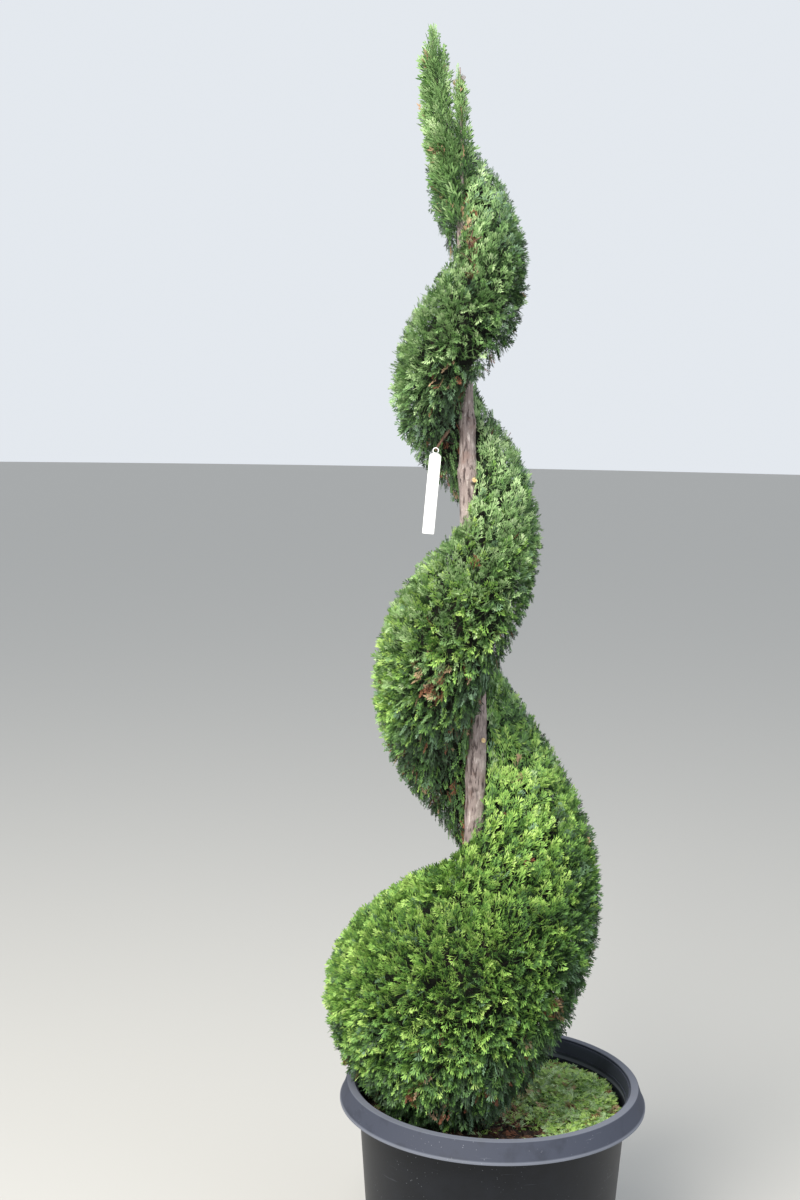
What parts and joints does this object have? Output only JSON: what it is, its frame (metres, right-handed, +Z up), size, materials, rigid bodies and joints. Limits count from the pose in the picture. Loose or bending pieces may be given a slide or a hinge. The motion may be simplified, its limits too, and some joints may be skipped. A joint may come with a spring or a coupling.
{
  "type": "spiral topiary in a nursery pot",
  "caption": "Potted evergreen clipped into a rising spiral of foliage round a bare leaning trunk, with a loose tuft at its tip, standing in a black plastic pot.",
  "frame": {"origin": "centre of the pot's flat underside", "axes": "+Z up along the plant, -Y towards the front that the picture shows, +X to the right of that front"},
  "size_m": [0.5586, 0.534, 2.178],
  "materials": {
    "pot": "dusty black moulded plastic",
    "mix": "dark bark and potting mix",
    "bark": "smooth fibrous grey-brown bark",
    "foliage": "dense flat scaly evergreen sprays",
    "tuft": "loose flat scaly evergreen sprays",
    "label": "blank white plastic"
  },
  "bodies": {
    "root": {"pot": "pot", "potting_mix": "mix", "trunk": "bark", "second_leader": "bark", "foliage_1_back": "foliage", "foliage_1_left": "foliage", "foliage_1_front": "foliage", "foliage_1_right": "foliage", "foliage_2_back": "foliage", "foliage_2_left": "foliage", "foliage_2_front": "foliage", "foliage_2_right": "foliage", "foliage_3_back": "foliage", "foliage_3_left": "foliage", "foliage_3_front": "foliage", "foliage_3_right": "foliage", "foliage_4_back": "foliage", "foliage_4_left": "foliage", "side_tuft": "tuft", "tip_tuft": "tuft", "plant_label": "label"}
  },
  "joints": []
}
